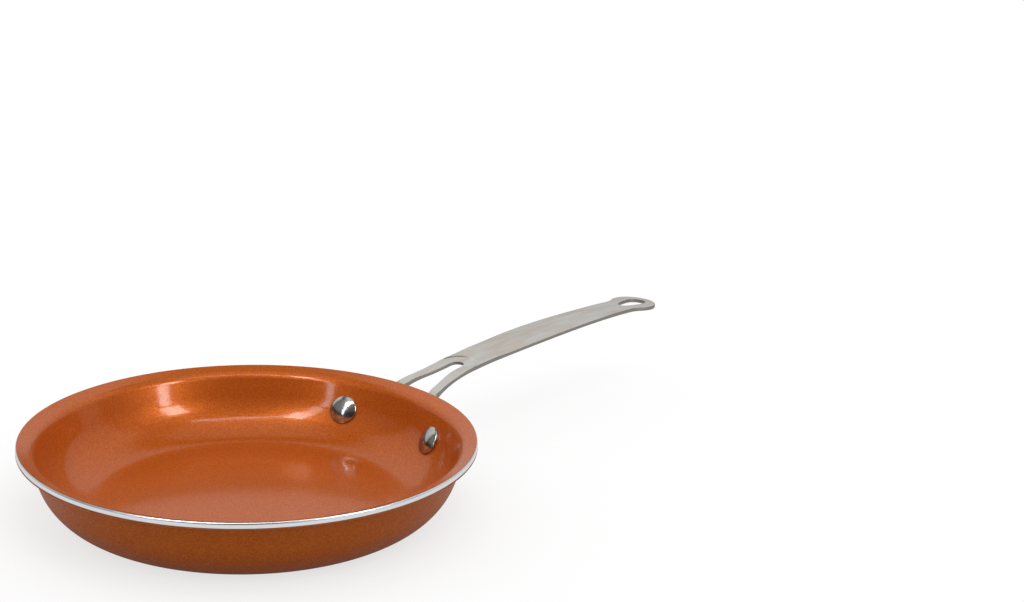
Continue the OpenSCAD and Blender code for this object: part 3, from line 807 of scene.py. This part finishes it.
# What reflections show of the studio: the azimuth of a side's middle, its half width to where it
# ends and to where it starts to fade, the sines of the elevations between which it comes in, or
# goes out if the first is the higher, and its glow at the low and at the high sine of GRADED
STUDIO_SIDES = (
    (42, 84, 76, 0.86, 0.74, 0.66, 1.05),     # the backdrop behind the pan
    (152, 28, 18, 0.18, 0.42, 0.3, 0.3),      # a grey wall at the left
    (0, 181, 180, 0.86, 0.95, 0.9, 0.9),      # the ceiling, all round
    (-48, 52, 26, 0.12, 0.24, 0.22, 0.34),    # a grey wall at the right
    (-132, 60, 30, 0.4, 0.55, 0.14, 0.14))    # the room behind the camera
GRADED = (0.2, 0.72)
# The glow of the rest of the room, what is added to the floor, and the share of the world's light
# that matt things get
ROOM_GLOW, FLOOR_LIFT, WORLD_SHARE = 0.04, 0.71, 0.85
# The dark card round the rim: its radius and height, its azimuths, and how much one end is raised
CARD_R, CARD_H, CARD_FROM, CARD_RAISED_FROM, CARD_TO, CARD_RAISE = 0.115, 0.0465, 14, 90, 110, 0.009
# How far off the strip lights are, and the spot that all lamps face
STRIP_REACH, LIT_SPOT = 1.6, Vector((0.03, 0, 0.03))


def direction(azimuth, elevation=0):
    """The direction of an azimuth and an elevation, in degrees."""
    a, e = radians(azimuth), radians(elevation)
    return Vector((cos(a) * cos(e), sin(a) * cos(e), sin(e)))


def floor_finish():
    """A matt floor. What it lacks to white is added for the camera, and for reflections less of it
    round the pan, a painted shadow that only reflections show."""
    made, tree, finish = material("pale_floor")
    fill(tree, finish, {"Base Color": (0.3, 0.3, 0.3, 1), "Roughness": 1, "Specular IOR Level": 0})
    rays = node(tree, "ShaderNodeLightPath").outputs
    place = node(tree, "ShaderNodeTexCoord").outputs["Object"]
    reach = node(tree, "ShaderNodeVectorMath", {0: place}, operation="LENGTH").outputs["Value"]
    # The painted shadow that reflections show reaches from 70 to 130 mm from the pan's middle
    painted_shadow = node(tree, "ShaderNodeMapRange", {
        "Value": reach, "From Min": 0.07, "From Max": 0.13, "To Min": 0.15, "To Max": 0.85}).outputs[0]
    mirrored = node(tree, "ShaderNodeMath", {
        0: rays["Is Glossy Ray"], 1: painted_shadow}, operation="MULTIPLY").outputs[0]
    seen = node(tree, "ShaderNodeMath", {
        0: rays["Is Camera Ray"], 1: mirrored}, operation="MAXIMUM").outputs[0]
    lift = node(tree, "ShaderNodeMath", {0: seen, 1: FLOOR_LIFT}, operation="MULTIPLY").outputs[0]
    glow = node(tree, "ShaderNodeEmission", {"Color": (1, 1, 1, 1), "Strength": lift}).outputs[0]
    both = node(tree, "ShaderNodeAddShader", {0: finish.outputs[0], 1: glow}).outputs[0]
    tree.links.new(both, tree.nodes["Material Output"].inputs["Surface"])
    return made


def studio_finish():
    """The studio round the table, as shares of a warm white: dark behind the camera, grey at its
    sides, pale overhead, and behind the pan the backdrop, which is brighter higher up."""
    made, tree, finish = material("studio_walls")
    place = node(tree, "ShaderNodeTexCoord").outputs["Object"]
    facing = node(tree, "ShaderNodeVectorMath", {0: place}, operation="NORMALIZE").outputs[0]
    height = node(tree, "ShaderNodeSeparateXYZ", {0: facing}).outputs["Z"]
    level = node(tree, "ShaderNodeVectorMath", {0: facing, 1: (1, 1, 0)}, operation="MULTIPLY").outputs[0]
    level = node(tree, "ShaderNodeVectorMath", {0: level}, operation="NORMALIZE").outputs[0]
    glow = ROOM_GLOW
    for middle, edge, fading, comes_in, is_in, low_glow, high_glow in STUDIO_SIDES:
        lined_up = node(tree, "ShaderNodeVectorMath", {
            0: level, 1: direction(middle)}, operation="DOT_PRODUCT").outputs["Value"]
        across = node(tree, "ShaderNodeMapRange", {
            "Value": lined_up, "From Min": cos(radians(edge)) if edge < 180 else -2,
            "From Max": cos(radians(fading)) if edge < 180 else -1.1},
            interpolation_type="SMOOTHSTEP").outputs[0]
        upward = node(tree, "ShaderNodeMapRange", {
            "Value": height, "From Min": comes_in, "From Max": is_in},
            interpolation_type="SMOOTHSTEP").outputs[0]
        graded = node(tree, "ShaderNodeMapRange", {
            "Value": height, "From Min": GRADED[0], "From Max": GRADED[1],
            "To Min": low_glow, "To Max": high_glow}).outputs[0]
        share = node(tree, "ShaderNodeMath", {0: across, 1: upward}, operation="MULTIPLY").outputs[0]
        share = node(tree, "ShaderNodeMath", {0: share, 1: graded}, operation="MULTIPLY").outputs[0]
        glow = node(tree, "ShaderNodeMath", {0: share, 1: glow}, operation="MAXIMUM").outputs[0]
    light = node(tree, "ShaderNodeEmission", {"Color": colour("#FFFDF9"), "Strength": glow}).outputs[0]
    tree.links.new(light, tree.nodes["Material Output"].inputs["Surface"])
    return made


def dark_card():
    """Black cloth on a card."""
    made, tree, finish = material("black_cloth")
    fill(tree, finish, {"Base Color": colour("#1C1A19"), "Roughness": 1})
    return made


def staged(name, finish, reflected_only=False):
    """Names the object just added and keeps it out of the pan's own pieces."""
    card = bpy.context.object
    card.name = name
    card.data.materials.append(finish)
    if reflected_only:
        card.visible_camera = card.visible_diffuse = card.visible_shadow = False
    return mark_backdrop(card)


bpy.ops.object.select_all(action="DESELECT")
bpy.ops.mesh.primitive_circle_add(vertices=96, radius=12, fill_type="NGON", location=(0, 0, 0))
staged("floor", floor_finish())

bpy.ops.mesh.primitive_uv_sphere_add(segments=64, ring_count=32, radius=6, location=(0, 0, 0))
staged("studio_dome", studio_finish(), reflected_only=True)

# A dark card bent round behind the pan's rim, which keeps white out of the far half of its floor
bpy.ops.mesh.primitive_cylinder_add(vertices=180, radius=CARD_R, depth=CARD_H, end_fill_type="NOTHING",
                                    location=(0, 0, CARD_H / 2))
bpy.ops.object.mode_set(mode="EDIT")
bpy.ops.mesh.select_mode(type="FACE")
bpy.ops.mesh.select_all(action="DESELECT")
bpy.ops.object.mode_set(mode="OBJECT")
for face in bpy.context.object.data.polygons:
    face.select = not CARD_FROM < degrees(atan2(face.center.y, face.center.x)) < CARD_TO
bpy.ops.object.mode_set(mode="EDIT")
bpy.ops.mesh.delete(type="FACE")
bpy.ops.mesh.select_mode(type="VERT")
bpy.ops.mesh.select_all(action="DESELECT")
bpy.ops.object.mode_set(mode="OBJECT")
for corner in bpy.context.object.data.vertices:
    corner.select = corner.co.z > 0 and degrees(atan2(corner.co.y, corner.co.x)) > CARD_RAISED_FROM
bpy.ops.object.mode_set(mode="EDIT")
bpy.ops.transform.translate(value=(0, 0, CARD_RAISE))
bpy.ops.object.mode_set(mode="OBJECT")
staged("rim_card", dark_card(), reflected_only=True)

world = bpy.data.worlds.new("studio")
bpy.context.scene.world = world
world.use_nodes = True
rays = node(world.node_tree, "ShaderNodeLightPath").outputs
fill(world.node_tree, world.node_tree.nodes["Background"], {
    "Color": (1, 1, 1, 1), "Strength": node(world.node_tree, "ShaderNodeMapRange", {
        "Value": rays["Is Diffuse Ray"], "To Min": 1, "To Max": WORLD_SHARE}).outputs[0]})


def lamp(name, kind, azimuth, elevation, distance, energy, **settings):
    """A lamp that faces the pan from a direction, in degrees."""
    away = direction(azimuth, elevation)
    light = bpy.data.lights.new(name, kind)
    light.energy = energy
    for key, value in settings.items():
        setattr(light, key, value)
    made = bpy.data.objects.new(name, light)
    bpy.context.scene.collection.objects.link(made)
    made.location = LIT_SPOT + away * distance
    made.rotation_euler = away.to_track_quat("Z", "Y").to_euler()
    return made


def strip(name, azimuth, elevation, wide, tall, glow):
    """A strip light of an angular width and height, in degrees, that only reflections show."""
    width, height = STRIP_REACH * radians(wide), STRIP_REACH * radians(tall)
    made = lamp(name, "AREA", azimuth, elevation, STRIP_REACH, glow * pi * width * height,
                shape="RECTANGLE", size=width, size_y=height)
    made.visible_camera = made.visible_diffuse = False


strip("right_strip_low", -79.5, 18, 6, 14, 16)
strip("right_strip_high", -80, 37, 11, 18, 16)
strip("left_strip_low", -179, 24, 4, 18, 9)
strip("left_strip_middle", -177, 42, 7, 14, 8)
strip("left_strip_high", -174, 57, 9, 14, 17)
strip("top_strip", -120, 70, 40, 4, 7)
daylight = lamp("soft_daylight", "SUN", -105, 60, 2, 0.5, angle=radians(40))
daylight.visible_glossy = False

# The camera, found from the photograph: its turn round the pan, its height angle and its roll, how
# far to the right of the rim's middle and above it it looks, its distance, and its focal length in
# pixels of a frame of that width
TURN, RISE, ROLL = radians(-47.811), radians(16.149), radians(1.855)
LOOK_RIGHT, LOOK_UP, DISTANCE, FOCAL_PIXELS, FRAME_PIXELS = 0.116728, 0.059571, 0.9, 2022.42, 1024
back = Vector((sin(TURN) * cos(RISE), -cos(TURN) * cos(RISE), sin(RISE)))
level = (-back).cross(Vector((0, 0, 1))).normalized()
upright = level.cross(-back)
right = level * cos(ROLL) + upright * sin(ROLL)
up = upright * cos(ROLL) - level * sin(ROLL)
spot = Vector((0, 0, PAN_H / 1000)) + right * LOOK_RIGHT + up * LOOK_UP + back * DISTANCE
lens = bpy.data.cameras.new("camera")
lens.sensor_width, lens.lens = 36, FOCAL_PIXELS * 36 / FRAME_PIXELS
lens.clip_start, lens.clip_end = 0.01, 50
camera = bpy.data.objects.new("camera", lens)
bpy.context.scene.collection.objects.link(camera)
camera.matrix_world = Matrix((
    (right.x, up.x, back.x, spot.x), (right.y, up.y, back.y, spot.y), (right.z, up.z, back.z, spot.z),
    (0, 0, 0, 1)))
bpy.context.scene.camera = camera
bpy.context.scene.view_settings.view_transform = "Standard"
